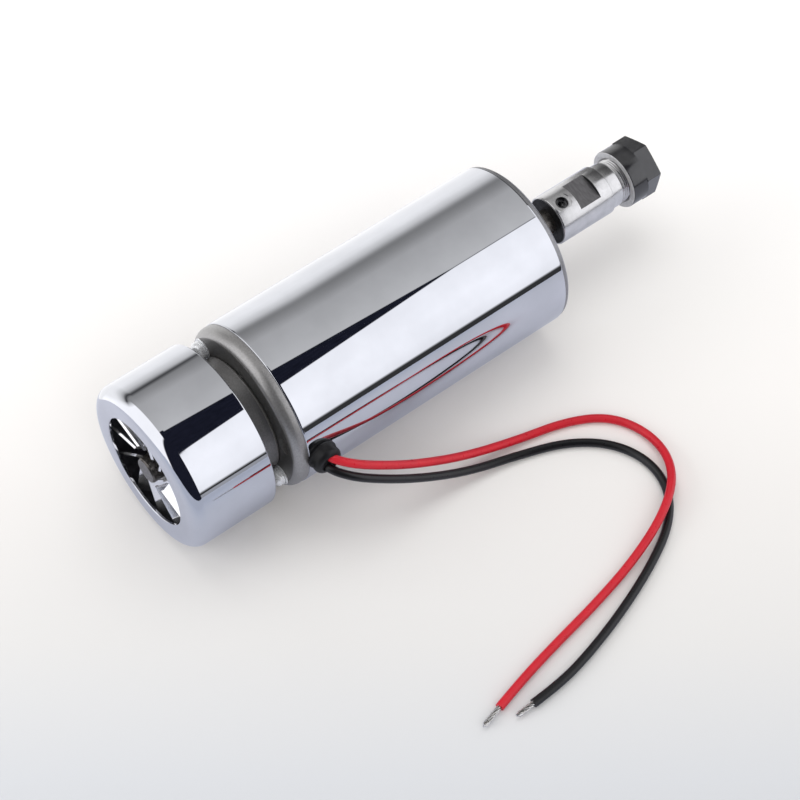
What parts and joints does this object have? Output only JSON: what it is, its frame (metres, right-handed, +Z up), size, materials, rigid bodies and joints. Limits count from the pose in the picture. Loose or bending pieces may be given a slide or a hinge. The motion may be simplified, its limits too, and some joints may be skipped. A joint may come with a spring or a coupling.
{
  "type": "motor spindle",
  "caption": "Air-cooled brushed motor spindle: chrome barrel, grey end caps, rear fan cover, collet rod with clamping nut, and red and black leads through a rubber grommet.",
  "frame": {"origin": "on the spindle axis at the barrel's front edge", "axes": "+X along the spindle axis towards the collet nose, +Z up, with the spindle lying on its side"},
  "size_m": [0.1857, 0.1402, 0.052],
  "materials": {
    "chrome": "mirror",
    "cast_aluminium": "satin",
    "bright_steel": "gloss",
    "sheet_steel": "gloss",
    "ground_steel": "satin",
    "black_oxide": "satin",
    "turned_steel": "satin",
    "ferrite": "matte",
    "lamination": "satin",
    "copper": "gloss",
    "brass": "satin",
    "carbon": "matte",
    "spring_steel": "satin",
    "phenolic": "matte",
    "black_rubber": "satin",
    "red_insulation": "gloss",
    "black_insulation": "gloss",
    "tinned_copper": "satin"
  },
  "bodies": {
    "housing": {"motor_tube": "chrome", "fan_cover": "chrome", "front_cap": "cast_aluminium", "rear_cap": "cast_aluminium", "tie_bolt_upper": "bright_steel", "tie_bolt_lower": "bright_steel", "flat_washer_upper": "bright_steel", "flat_washer_lower": "bright_steel", "spring_washer_upper": "bright_steel", "spring_washer_lower": "bright_steel", "spider_screw_1": "bright_steel", "spider_screw_2": "bright_steel", "spider_screw_3": "bright_steel", "spider_screw_4": "bright_steel", "cover_spider": "sheet_steel", "wave_washer": "sheet_steel", "front_shim": "sheet_steel", "front_bearing_outer": "ground_steel", "rear_bearing_outer": "ground_steel", "magnet_upper": "ferrite", "magnet_lower": "ferrite", "brush_box_top": "brass", "brush_box_bottom": "brass", "brush_spring_top": "spring_steel", "brush_spring_bottom": "spring_steel", "brush_plate": "phenolic", "grommet": "black_rubber", "red_lead": "red_insulation", "black_lead": "black_insulation", "red_tinned_end": "tinned_copper", "black_tinned_end": "tinned_copper"},
    "rotor": {"motor_shaft": "ground_steel", "armature_core": "lamination", "windings": "copper", "commutator": "copper", "front_bearing_inner": "ground_steel", "rear_bearing_inner": "ground_steel", "fan_hub": "turned_steel", "fan_set_screw": "black_oxide", "fan": "sheet_steel", "collet_rod": "ground_steel", "grub_screw_1": "black_oxide", "grub_screw_2": "black_oxide"},
    "front_balls": {"front_bearing_cage": "brass", "front_bearing_balls": "ground_steel"},
    "rear_balls": {"rear_bearing_cage": "brass", "rear_bearing_balls": "ground_steel"},
    "brush_top": {"brush_top": "carbon"},
    "brush_bottom": {"brush_bottom": "carbon"},
    "collet": {"collet": "ground_steel"},
    "nut": {"collet_nut": "black_oxide"}
  },
  "joints": [
    {"name": "spindle_spin", "type": "hinge", "parent": "housing", "child": "rotor", "pos_m": [0, 0, 0], "axis": [1, 0, 0], "continuous": true},
    {"name": "front_balls_roll", "type": "hinge", "parent": "housing", "child": "front_balls", "pos_m": [-0.0035, 0, 0], "axis": [1, 0, 0], "continuous": true},
    {"name": "rear_balls_roll", "type": "hinge", "parent": "housing", "child": "rear_balls", "pos_m": [-0.1, 0, 0], "axis": [1, 0, 0], "continuous": true},
    {"name": "brush_top_slide", "type": "slide", "parent": "housing", "child": "brush_top", "axis": [0, 0, 1], "range_m": [0, 0.0025], "stiffness_N_per_m": 150, "springref_m": -0.005, "deforming": ["brush_spring_top"]},
    {"name": "brush_bottom_slide", "type": "slide", "parent": "housing", "child": "brush_bottom", "axis": [0, 0, -1], "range_m": [0, 0.0025], "stiffness_N_per_m": 150, "springref_m": -0.005, "deforming": ["brush_spring_bottom"]},
    {"name": "collet_slide", "type": "slide", "parent": "rotor", "child": "collet", "axis": [1, 0, 0], "range_m": [0, 0.0015]},
    {"name": "nut_turn", "type": "hinge", "parent": "collet", "child": "nut", "pos_m": [0.047, 0, 0], "axis": [1, 0, 0], "range_deg": [0, 720]}
  ],
  "couplings": [
    {"joint": "front_balls_roll", "follows": "spindle_spin", "ratio": 0.3694},
    {"joint": "rear_balls_roll", "follows": "spindle_spin", "ratio": 0.3694},
    {"joint": "collet_slide", "follows": "nut_turn", "m_per_rad": 0.00011936}
  ]
}
